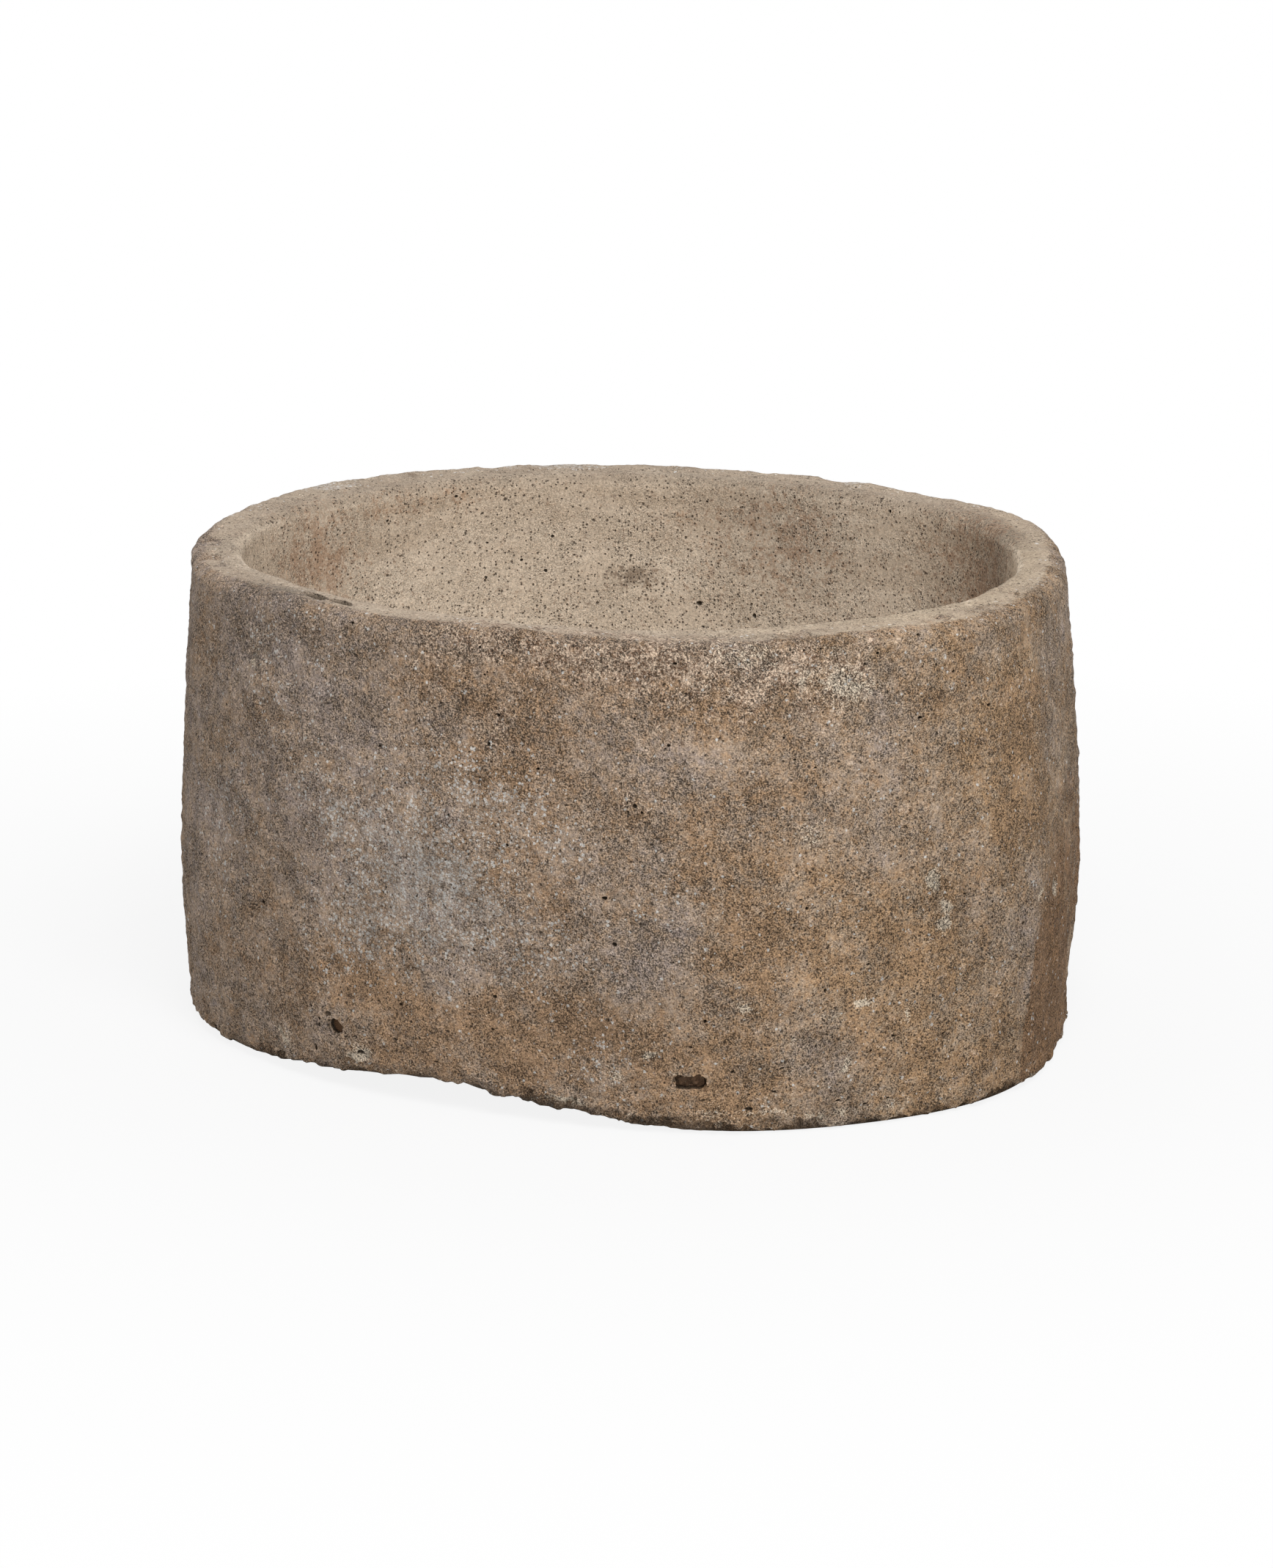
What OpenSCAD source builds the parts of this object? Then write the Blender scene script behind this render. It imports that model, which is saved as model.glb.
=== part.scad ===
// Oval limestone trough: one block, hollowed and dressed by hand, with two drains
// through its foot that were stopped again, one with lime mortar and one with an oak bung.
// The origin is under the middle of the block, +X runs along the long axis and +Z is up.
// Azimuths are in degrees from +X, turning towards +Y.

/* [Block] */
// Length of the rim, along X
rim_length = 1080; // [800:10:1500]
// Width of the rim, along Y
rim_width = 950; // [700:10:1300]
// Height of the block
height = 550; // [350:10:700]
// How far the wall swells out past the rim at the belly
belly = 29; // [5:1:60]
// Height of the belly above the ground
belly_height = 165; // [110:5:240]
// How far the wall stands out past the rim at the foot
foot_swell = 19; // [0:1:50]
// Radius of the worn edge round the foot
foot_round = 13; // [6:1:30]
// Height to which the foot has broken away, and the stone hangs clear of the ground
broken_lift = 31; // [0:1:60]
// Azimuth of the middle of the broken foot
broken_azimuth = 289; // [0:1:359]

/* [Hollow] */
// Thickness of the wall at the ends of the long axis
end_wall = 70; // [45:1:120]
// Thickness of the wall at the middle of the long sides
side_wall = 62; // [45:1:120]
// Thickness of the floor
floor_thickness = 56; // [40:1:100]
// How much the hollow draws in between the rim and the floor
hollow_draw = 24; // [0:1:60]
// Radius of the curve between the wall of the hollow and its floor
floor_round = 70; // [20:5:110]
// Turn of the hollow's oval against the oval of the block
hollow_turn = 13; // [-20:1:20]
// Shift of the hollow along Y
hollow_shift = 4; // [-15:1:15]

/* [Rim] */
// Radius of the worn outer edge of the rim
rim_outer_round = 20; // [4:1:30]
// Radius of the worn inner edge of the rim
rim_inner_round = 15; // [4:1:30]

/* [Round drain] */
// Diameter of the drilled drain
bore_d = 19; // [12:0.5:26]
// Azimuth of the drilled drain
bore_azimuth = 273; // [262:1:300]
// Height of the middle of the drilled drain where it comes out
bore_height = 73; // [66:1:90]
// Play between the oak bung and its bore, on the radius
bung_clearance = 0.2; // [0.1:0.05:0.4]
// How far the bung is driven in behind the face of the stone
bung_setback = 8; // [5:1:20]

/* [Slot drain] */
// Width of the chiselled drain
slot_w = 33; // [20:1:50]
// Height of the chiselled drain
slot_h = 16; // [10:1:24]
// Radius of the corners of the chiselled drain
slot_corner = 4; // [1:0.5:4.5]
// Azimuth of the chiselled drain
slot_azimuth = 323; // [315:1:345]
// Height of the middle of the chiselled drain where it comes out
slot_height = 63; // [54:1:80]
// Play between the mortar and the walls of the slot
mortar_clearance = 0.2; // [0.1:0.05:0.4]
// How far the mortar stops behind the face of the stone
mortar_setback = 9; // [5:1:20]

/* [Drains] */
// Fall of both drains towards the outside, in degrees
drain_fall = 5; // [0:1:8]
// How far both stoppers end short of the hollow
inner_setback = 6; // [2:1:15]

/* [Rim hollows] */
// Length of each small hollow worn into the rim
worn_length = 42; // [20:1:50]
// Width of each small hollow, across the rim
worn_width = 17; // [8:1:20]
// Depth of each small hollow
worn_depth = 6; // [2:0.5:8]
// Azimuth of the first small hollow
worn_azimuth = 264; // [262:0.5:274]
// Azimuth from one small hollow to the next
worn_step = 4.9; // [4:0.1:6]
// How far the small hollows lie in from the outer edge of the rim
worn_inset = 31; // [24:1:38]

/* [Hidden] */

// Steps round the block, up its wall, down the hollow, and along each rounded edge
around = 88;
wall_steps = 11;
hollow_steps = 5;
edge_steps = 4;
round_faces = 48;

// The mason's dressing, as swells and flats: [azimuth, how far out, half its breadth in degrees]
OUTLINE_DRESSING = [
    [0, 13, 14], [66, 32, 18], [100, 11, 14], [135, 4, 14], [176, 2, 15], [203, -8, 13],
    [238, 13, 12], [276, -8, 14], [300, -21, 17], [332, 4, 10]
];
HOLLOW_DRESSING = [[68, 12, 16], [188, -14, 22], [250, -5, 12], [284, -11, 18]];
BELLY_DRESSING = [[48, -3, 34], [225, -7, 34], [285, -7, 26], [150, 4, 30]];
FOOT_DRESSING = [[52, -8, 16], [226, -7, 26], [4, 9, 27], [328, -5, 12], [120, -4, 25]];
// Dips worn into the rim: [azimuth, depth, half the breadth in degrees]
RIM_DIPS = [[232, 5, 15], [277, 3, 10], [318, 3, 16], [178, 2, 18]];
// Ridges and flats up the wall: [azimuth, height, how far out, half the breadth, half the height]
WALL_DRESSING = [
    [8, 250, 7, 6, 190], [27, 180, -6, 9, 150], [350, 330, -4, 9, 130], [256, 440, 6, 6, 45],
    [246, 300, -5, 9, 110], [300, 260, 4, 12, 120], [210, 330, -5, 8, 90], [178, 120, 5, 10, 90],
    [140, 330, -5, 12, 120], [95, 200, 5, 10, 110], [72, 380, -4, 9, 90]
];

// How the wall curves away from its belly, and how the hollow draws in
wall_curve = 1.6;
draw_curve = 1.4;
// Breadth of the broken foot in degrees, and how far under the block it runs for each unit of lift
broken_spread = 23;
broken_run = 3.4;
// Least width of the ring under the foot that carries its edge
foot_ring = 30;
// Share of the wall's thickness that one worn edge of the rim may take
edge_share = 0.42;
// How far a cut runs on past the face that it opens
overrun = 14;
// Two worn hollows in the rim, lying end to end
worn_count = 2;

function total(v, i = 0) = i < len(v) ? v[i] + total(v, i + 1) : 0;
function fade(distance, half) = exp(-pow(distance / half, 2));
function apart(a, b) = abs((a - b + 540) % 360 - 180);
function dressed(a, marks) = total([for (m = marks) m[1] * fade(apart(a, m[0]), m[2])]);
function oval(a, half_x, half_y) = half_x * half_y / norm([half_y * cos(a), half_x * sin(a)]);

// The outside of the block
function rim_r(a) = oval(a, rim_length / 2, rim_width / 2) + dressed(a, OUTLINE_DRESSING);
function rim_z(a) = height - dressed(a, RIM_DIPS);
function lift(a) = broken_lift * fade(apart(a, broken_azimuth), broken_spread);
function ridges(a, z) =
    total([for (m = WALL_DRESSING) m[2] * fade(apart(a, m[0]), m[3]) * fade(z - m[1], m[4])]);
function swell(a, z) =
    let (out = belly + dressed(a, BELLY_DRESSING), foot = foot_swell + dressed(a, FOOT_DRESSING))
    z > belly_height
    ? out * (1 - pow((z - belly_height) / (height - belly_height), wall_curve))
    : out - (out - foot) * pow((belly_height - z) / belly_height, wall_curve);
function wall_r(a, z) = rim_r(a) + swell(a, min(z, rim_z(a))) + ridges(a, z);

// The hollow
function hollow_rim_r(a) =
    oval(a - hollow_turn, rim_length / 2 - end_wall, rim_width / 2 - side_wall)
    + hollow_shift * sin(a) + dressed(a, HOLLOW_DRESSING);
function draw_in(a, z) =
    hollow_draw * pow((rim_z(a) - z) / (rim_z(a) - floor_thickness), draw_curve);
function hollow_r(a, z) =
    let (below = max(0, floor_thickness + floor_round - z))
    hollow_rim_r(a) - draw_in(a, max(z, floor_thickness)) - floor_round
    + sqrt(max(0, pow(floor_round, 2) - pow(below, 2)));

// The block's outline from under its middle, up the wall, over the rim and down to the floor
function profile(a) =
    let (
        thick = rim_r(a) - hollow_rim_r(a),
        outer = min(rim_outer_round, edge_share * thick),
        inner = min(rim_inner_round, edge_share * thick),
        up = lift(a),
        foot_z = up + foot_round,
        foot_in = wall_r(a, foot_z) - foot_round,
        under = foot_in - foot_ring - broken_run * up,
        top = rim_z(a),
        wall_top = top - outer,
        rim_out = wall_r(a, wall_top) - outer,
        rim_in = hollow_rim_r(a) + inner,
        hollow_top = top - inner,
        fillet_z = floor_thickness + floor_round,
        fillet_r = hollow_r(a, fillet_z) - floor_round
    )
    concat(
        [[under / 2, 0], [under, 0], [(under + foot_in) / 2, up / 3]],
        [for (i = [0:edge_steps]) let (t = 90 * i / edge_steps)
            [foot_in + foot_round * sin(t), foot_z - foot_round * cos(t)]],
        [for (i = [1:wall_steps]) let (z = foot_z + (wall_top - foot_z) * i / wall_steps)
            [wall_r(a, z), z]],
        [for (i = [1:edge_steps]) let (t = 90 * i / edge_steps)
            [rim_out + outer * cos(t), wall_top + outer * sin(t)]],
        [for (i = [0:edge_steps - 1]) let (t = 90 * i / edge_steps)
            [rim_in - inner * sin(t), hollow_top + inner * cos(t)]],
        [for (i = [0:hollow_steps - 1]) let (z = hollow_top + (fillet_z - hollow_top) * i / hollow_steps)
            [hollow_r(a, z), z]],
        [for (i = [0:edge_steps + 1]) let (t = 90 * i / (edge_steps + 1))
            [fillet_r + floor_round * cos(t), fillet_z - floor_round * sin(t)]],
        [[fillet_r / 2, floor_thickness]]
    );

PROFILES = [for (i = [0:around - 1]) profile(360 * i / around)];
rings = len(PROFILES[0]);
SKIN = [for (i = [0:around - 1]) for (p = PROFILES[i])
    [p[0] * cos(360 * i / around), p[0] * sin(360 * i / around), p[1]]];

// The dressing makes the block uneven, so it is set over the origin by its own extents
xs = [for (p = SKIN) p[0]];
ys = [for (p = SKIN) p[1]];
MIDDLE = [(min(xs) + max(xs)) / 2, (min(ys) + max(ys)) / 2, 0];

module over_origin() {
    translate(-MIDDLE) children();
}

// The block and its hollow as one skin, closed under the middle and over the floor
module hollowed_block() {
    under_point = len(SKIN);
    floor_point = under_point + 1;
    sides = [for (i = [0:around - 1]) for (j = [0:rings - 2])
        let (k = (i + 1) % around, a = i * rings + j, b = k * rings + j)
        for (face = [[a, a + 1, b + 1], [a, b + 1, b]]) face];
    under = [for (i = [0:around - 1]) let (k = (i + 1) % around) [under_point, i * rings, k * rings]];
    floor_fan = [for (i = [0:around - 1]) let (k = (i + 1) % around)
        [floor_point, k * rings + rings - 1, i * rings + rings - 1]];
    polyhedron(
        points = concat(SKIN, [[0, 0, 0], [0, 0, floor_thickness]]),
        faces = concat(sides, under, floor_fan)
    );
}

// Length of a drain from the face of the stone to the hollow
function drain_length(azimuth, z) =
    let (
        level = wall_r(azimuth, z) - hollow_r(azimuth, z),
        inside_z = z + level * tan(drain_fall)
    )
    (wall_r(azimuth, z) - hollow_r(azimuth, inside_z)) / cos(drain_fall);

// Sets its child, which runs along +Z, into the wall: it starts in the face, and goes inwards
module into_wall(azimuth, z) {
    rotate([0, 0, azimuth]) translate([wall_r(azimuth, z), 0, z])
        rotate([0, drain_fall - 90, 0]) rotate([0, 0, 90]) children();
}

module drilled(azimuth, z, from, to, d) {
    into_wall(azimuth, z) translate([0, 0, from]) cylinder(h = to - from, d = d, $fn = round_faces);
}

// A rectangle with round corners, as wide and as high as it says
module slot_outline(w, h, corner) {
    square([w - 2 * corner, h], center = true);
    square([w, h - 2 * corner], center = true);
    for (x = [-1, 1], y = [-1, 1])
        translate([x * (w / 2 - corner), y * (h / 2 - corner)]) circle(r = corner, $fn = round_faces);
}

module chiselled(azimuth, z, from, to, w, h, corner) {
    into_wall(azimuth, z) translate([0, 0, from])
        linear_extrude(height = to - from) slot_outline(w, h, corner);
}

// A lens on edge, as long and as deep as the hollow that a whetted blade wears
module worn_hollow(azimuth) {
    lens_r = (pow(worn_length / 2, 2) + pow(worn_depth, 2)) / (2 * worn_depth);
    cut_z = rim_z(azimuth) - worn_depth + lens_r;
    rotate([0, 0, azimuth]) translate([rim_r(azimuth) - worn_inset, 0, cut_z]) rotate([0, 90, 0])
        rotate_extrude($fn = 2 * round_faces) polygon([
            [0, -worn_width / 2], [lens_r - worn_depth, -worn_width / 2], [lens_r, 0],
            [lens_r - worn_depth, worn_width / 2], [0, worn_width / 2]
        ]);
}

module trough() {
    bore_end = drain_length(bore_azimuth, bore_height) + overrun;
    slot_end = drain_length(slot_azimuth, slot_height) + overrun;
    color("#96836d") over_origin() difference() {
        hollowed_block();
        drilled(bore_azimuth, bore_height, -overrun, bore_end, bore_d);
        chiselled(slot_azimuth, slot_height, -overrun, slot_end, slot_w, slot_h, slot_corner);
        for (i = [0:worn_count - 1]) worn_hollow(worn_azimuth + i * worn_step);
    }
}

// Lime mortar rammed into the slot drain
module slot_mortar() {
    plug_end = drain_length(slot_azimuth, slot_height) - inner_setback;
    color("#7c6c5a") over_origin() chiselled(
        slot_azimuth, slot_height, mortar_setback, plug_end,
        slot_w - 2 * mortar_clearance, slot_h - 2 * mortar_clearance, slot_corner - mortar_clearance
    );
}

// Oak bung driven into the drilled drain
module drain_bung() {
    bung_end = drain_length(bore_azimuth, bore_height) - inner_setback;
    color("#6f5338") over_origin()
        drilled(bore_azimuth, bore_height, bung_setback, bung_end, bore_d - 2 * bung_clearance);
}

trough();
slot_mortar();
drain_bung();
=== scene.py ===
"""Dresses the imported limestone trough: one weathered, hand-dressed block with two stopped drains."""
from math import cos, exp, pi, radians, sin, sqrt, tan

import bpy
import numpy as np
from mathutils import Matrix, Vector
from numpy.linalg import inv, norm

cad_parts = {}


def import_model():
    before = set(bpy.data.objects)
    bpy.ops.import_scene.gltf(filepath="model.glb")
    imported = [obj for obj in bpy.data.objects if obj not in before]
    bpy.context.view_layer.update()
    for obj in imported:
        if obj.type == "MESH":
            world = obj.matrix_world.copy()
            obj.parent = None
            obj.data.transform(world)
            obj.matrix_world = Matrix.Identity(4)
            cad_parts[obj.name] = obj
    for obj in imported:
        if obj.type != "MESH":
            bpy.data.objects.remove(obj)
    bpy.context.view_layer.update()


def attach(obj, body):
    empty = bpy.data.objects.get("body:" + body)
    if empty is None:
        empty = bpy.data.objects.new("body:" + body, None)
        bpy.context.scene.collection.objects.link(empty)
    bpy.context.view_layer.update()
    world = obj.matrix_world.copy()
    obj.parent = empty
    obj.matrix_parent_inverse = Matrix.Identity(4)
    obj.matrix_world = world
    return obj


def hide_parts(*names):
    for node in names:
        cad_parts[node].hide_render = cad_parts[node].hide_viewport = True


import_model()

MM = 0.001

# The block's sizes in millimetres, and the mason's dressing, as in the part's source
RIM_LENGTH, RIM_WIDTH, HEIGHT = 1080.0, 950.0, 550.0
BELLY, BELLY_HEIGHT, FOOT_SWELL, FOOT_ROUND = 29.0, 165.0, 19.0, 13.0
BROKEN_LIFT, BROKEN_AZIMUTH, BROKEN_SPREAD, BROKEN_RUN = 31.0, 289.0, 23.0, 3.4
END_WALL, SIDE_WALL, FLOOR, DRAW, FLOOR_ROUND = 70.0, 62.0, 56.0, 24.0, 70.0
HOLLOW_TURN, HOLLOW_SHIFT = 13.0, 4.0
RIM_OUT, RIM_IN, EDGE_SHARE, FOOT_RING = 20.0, 15.0, 0.42, 30.0
WALL_CURVE, DRAW_CURVE = 1.6, 1.4
OUTLINE = [
    (0, 13, 14), (66, 32, 18), (100, 11, 14), (135, 4, 14), (176, 2, 15), (203, -8, 13), (238, 13, 12),
    (276, -8, 14), (300, -21, 17), (332, 4, 10)]
HOLLOW = [(68, 12, 16), (188, -14, 22), (250, -5, 12), (284, -11, 18)]
BELLIES = [(48, -3, 34), (225, -7, 34), (285, -7, 26), (150, 4, 30)]
FEET = [(52, -8, 16), (226, -7, 26), (4, 9, 27), (328, -5, 12), (120, -4, 25)]
RIM_DIPS = [(232, 5, 15), (277, 3, 10), (318, 3, 16), (178, 2, 18)]
RIDGES = [
    (8, 250, 7, 6, 190), (27, 180, -6, 9, 150), (350, 330, -4, 9, 130), (256, 440, 6, 6, 45),
    (246, 300, -5, 9, 110), (300, 260, 4, 12, 120), (210, 330, -5, 8, 90), (178, 120, 5, 10, 90),
    (140, 330, -5, 12, 120), (95, 200, 5, 10, 110), (72, 380, -4, 9, 90)]
BORE_D, BORE_AZIMUTH, BORE_HEIGHT, BUNG_PLAY, BUNG_SETBACK = 19.0, 273.0, 73.0, 0.2, 8.0
SLOT_W, SLOT_H, SLOT_CORNER, SLOT_AZIMUTH, SLOT_HEIGHT = 33.0, 16.0, 4.0, 323.0, 63.0
MORTAR_PLAY, MORTAR_SETBACK, DRAIN_FALL, INNER_SETBACK, OVERRUN = 0.2, 9.0, 5.0, 6.0, 14.0
WORN_LENGTH, WORN_WIDTH, WORN_DEPTH, WORN_INSET = 42.0, 17.0, 6.0, 31.0
WORN_AZIMUTHS = (264.0, 268.9)
# Dirt and painted shade in the drains: how far they spread round them, and where they start and end behind
# the face
DIRT_AND_SHADE_SPREAD, DIRT_AND_SHADE_START, DIRT_AND_SHADE_END = 3, 5, 60

# The camera fitted to the outline in the photograph, in pixels of its frame, metres and degrees, and a
# sensor's width in millimetres
FOCAL_PIXELS, FRAME_PIXELS, SENSOR_WIDTH = 6150, 2138, 36.0
CAMERA_PLACE, CAMERA_PITCH, CAMERA_TURN = (3.679, -3.676, 1.639), 14.876, 45
# Half the floor's side and the point at which the lamps aim, in metres
FLOOR_HALF, LAMP_AIM = 30.0, Vector((0, 0, 0.3))
WHITE = (1, 1, 1, 1)

# Grid of the skin: steps round the block and along its outline, and the steps round the part's own solid
AROUND, WALL_ROWS, HOLLOW_ROWS, EDGE_ROWS, FOOT_ROWS, FILLET_ROWS = 900, 150, 84, 9, 8, 24
UNDER_ROWS, RUN_ROWS, FLOOR_ROWS, RIM_ROWS, SOURCE_AROUND = 6, 4, 36, 9, 88
# The rows at the foot's edge and in the middle of the rim
FOOT_ROW = UNDER_ROWS + RUN_ROWS
RIM_ROW = FOOT_ROW + FOOT_ROWS + 1 + WALL_ROWS + EDGE_ROWS + RIM_ROWS // 2

# Flake scars: azimuth, height, half length, half width, turn of their sharp edge, depth, fresh stone
SCARS = [
    (257.6, 466, 26, 22, -62, 2.8, 0.0), (219, 541, 12, 16, 180, 5.0, 0.0),
    (276.8, 50, 16, 14, 20, 2.6, 0.9), (262.8, 45, 17, 11, -50, 2.2, 0.7), (352, 274, 11, 17, -70, 1.6, 1.0),
    (353.5, 242, 9, 9, -40, 1.5, 0.9), (353, 224, 8, 10, -20, 1.5, 1.0), (15, 218, 12, 15, -60, 2.4, 0.9),
    (8.5, 223, 9, 8, 30, 1.5, 0.6), (318, 95, 9, 8, 10, 1.2, 0.8), (340.5, 77, 10, 10, 60, 1.4, 0.7),
    (329, 152, 14, 8, -25, 1.2, 0.6), (342.5, 148, 10, 9, -15, 1.2, 0.7), (69, 549, 15, 14, 200, 2.5, 0.0),
    (38, 310, 22, 16, 30, 2.4, 0.3), (62, 150, 15, 12, -30, 2.0, 0.7), (104, 390, 26, 18, 15, 2.6, 0.2),
    (128, 205, 14, 14, 70, 2.2, 0.6), (166, 350, 30, 17, -20, 2.8, 0.2), (187, 120, 18, 12, 10, 2.4, 0.5),
    (206, 260, 20, 13, -55, 2.2, 0.3), (150, 60, 24, 16, 5, 3.0, 0.4), (88, 70, 20, 14, -10, 2.6, 0.5),
    (229, 60, 20, 14, -25, 2.8, 0.2)]
# Where the wall stands proud (+) or in (-): azimuth, height, millimetres, spread in degrees and in height
UNEVEN = [
    (227, 260, -4.5, 9, 420), (30, 50, -7, 18, 85), (220, 534, 5.5, 6, 11), (263, 30, -2, 9, 60),
    (140, 552, 2.2, 75, 22), (250, 380, 2.2, 3.5, 90), (262, 210, -2.4, 5, 110), (276, 420, -2, 6, 60),
    (292, 160, 2.2, 6, 70), (306, 400, -1.8, 7, 70), (318, 220, 2, 7, 80), (335, 300, -2, 5, 90),
    (346, 420, 2, 5, 80), (354, 250, -2, 4, 90), (84, 260, -2.4, 8, 90), (118, 430, 2.4, 7, 60),
    (160, 180, -2.5, 9, 70), (196, 400, 2.5, 6, 80), (46, 420, 2, 6, 70)]
# Fractures under the foot's edge: azimuth, height, spread in degrees
FRACTURES = [
    (258, 12, 2), (262, 19, 2.4), (269, 9, 2), (303, 16, 1.5), (307.5, 26, 2.6), (316, 9, 2), (320, 15, 2.5),
    (326, 17, 3), (336.5, 13, 2.5), (346, 8, 3), (2, 8, 6), (30, 14, 5), (52, 10, 4), (76, 14, 5),
    (101, 20, 4), (126, 11, 5), (149, 18, 4), (171, 10, 4), (192, 16, 5), (214, 11, 4), (238, 12, 4)]
# Single pits: azimuth, height, width, height and depth of the opening; the last list is in the hollow
PITS = [
    (355, 498, 4, 4, 5), (357.6, 488, 3, 3, 4), (316.5, 372, 6, 5, 4), (317.1, 366, 3, 4, 4),
    (298.2, 105, 4, 4, 4), (269.2, 39, 6, 9, 6), (277.3, 45, 8, 6, 5), (4.8, 200, 6, 4, 4),
    (5.5, 208, 3, 3, 3), (336.9, 484, 3, 3, 4), (283.2, 76, 8, 2.2, 2), (289.5, 54, 9, 2.0, 2),
    (324.3, 42, 6, 2.4, 2), (270.6, 79, 5, 4, 4), (270.3, 73, 3.4, 4, 4), (272.2, 86, 9, 6, 3),
    (298.5, 457, 5, 4, 4), (297.2, 424, 4, 5, 4), (255.9, 478, 2.6, 3.4, 3), (343, 190, 4, 3, 4),
    (334.2, 236, 3, 3, 4), (346.4, 104, 5, 3, 4), (320.4, 440, 4, 4, 4), (291.6, 341, 3, 4, 3),
    (333.2, 79, 5, 3, 4), (327.5, 76, 4, 3.4, 4), (332.5, 53, 6, 2.6, 4), (329.8, 48, 2.6, 2.4, 3),
    (340, 33, 7, 2.8, 4), (343, 22, 5, 2.8, 4), (329.5, 32, 10, 5, 3), (343.5, 89, 3.4, 3.4, 4),
    (353.2, 65, 2.4, 3.4, 3), (346, 29, 4, 3, 3)]
HOLLOW_PITS = [
    (85, 534, 5, 5, 6), (111.5, 380, 6, 7, 5), (112.6, 375, 3, 4, 4), (120.9, 520, 4, 3, 4),
    (163.2, 529, 5, 4, 5), (147, 470, 5, 4, 4), (152.5, 441, 4, 4, 4), (99, 470, 6, 3, 4),
    (49.2, 515, 4, 9, 4)]
# Further pits at random places on the wall and in the hollow, and the size in millimetres they stay under
STRAY_PITS, STRAY_HOLLOW_PITS, STRAY_LIMIT = 420, 380, 6
# Steps round the slot, and the angle in degrees from which an edge stays sharp
SLOT_STEPS, SHARP_ANGLE = 110, 62


def fade(distance, half):
    return np.exp(-(distance / half) ** 2)


def unit(value):
    return np.clip(value, 0, 1)


def turned(a, b):
    """How far a lies counter-clockwise of b, from -180 to 180 degrees."""
    return (a - b + 540) % 360 - 180


def apart(a, b):
    return np.abs(turned(a, b))


def dressed(a, marks):
    return sum(m[1] * fade(apart(a, m[0]), m[2]) for m in marks)


def oval(a, half_x, half_y):
    a = np.radians(a)
    return half_x * half_y / np.hypot(half_y * np.cos(a), half_x * np.sin(a))


def rim_r(a):
    return oval(a, RIM_LENGTH / 2, RIM_WIDTH / 2) + dressed(a, OUTLINE)


def rim_z(a):
    return HEIGHT - dressed(a, RIM_DIPS)


def lift(a):
    return BROKEN_LIFT * fade(apart(a, BROKEN_AZIMUTH), BROKEN_SPREAD)


def bulges(a, z, marks):
    return sum(m[2] * fade(apart(a, m[0]), m[3]) * fade(z - m[1], m[4]) for m in marks)


def swell(a, z):
    out = BELLY + dressed(a, BELLIES)
    foot = FOOT_SWELL + dressed(a, FEET)
    up = np.clip((z - BELLY_HEIGHT) / (HEIGHT - BELLY_HEIGHT), 0, None) ** WALL_CURVE
    down = np.clip((BELLY_HEIGHT - z) / BELLY_HEIGHT, 0, None) ** WALL_CURVE
    return np.where(z > BELLY_HEIGHT, out * (1 - up), out - (out - foot) * down)


def wall_r(a, z):
    return rim_r(a) + swell(a, np.minimum(z, rim_z(a))) + bulges(a, z, RIDGES)


def hollow_rim_r(a):
    return (oval(a - HOLLOW_TURN, RIM_LENGTH / 2 - END_WALL, RIM_WIDTH / 2 - SIDE_WALL)
            + HOLLOW_SHIFT * np.sin(np.radians(a)) + dressed(a, HOLLOW))


def hollow_r(a, z):
    below = np.maximum(0, FLOOR + FLOOR_ROUND - z)
    drawn = np.clip((rim_z(a) - np.maximum(z, FLOOR)) / (rim_z(a) - FLOOR), 0, None) ** DRAW_CURVE
    return (hollow_rim_r(a) - DRAW * drawn - FLOOR_ROUND
            + np.sqrt(np.maximum(0, FLOOR_ROUND ** 2 - below ** 2)))


def quarter(count, first=0):
    """Angles of a quarter turn in equal steps."""
    return [pi / 2 * i / count for i in range(first, count + 1)]


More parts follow.
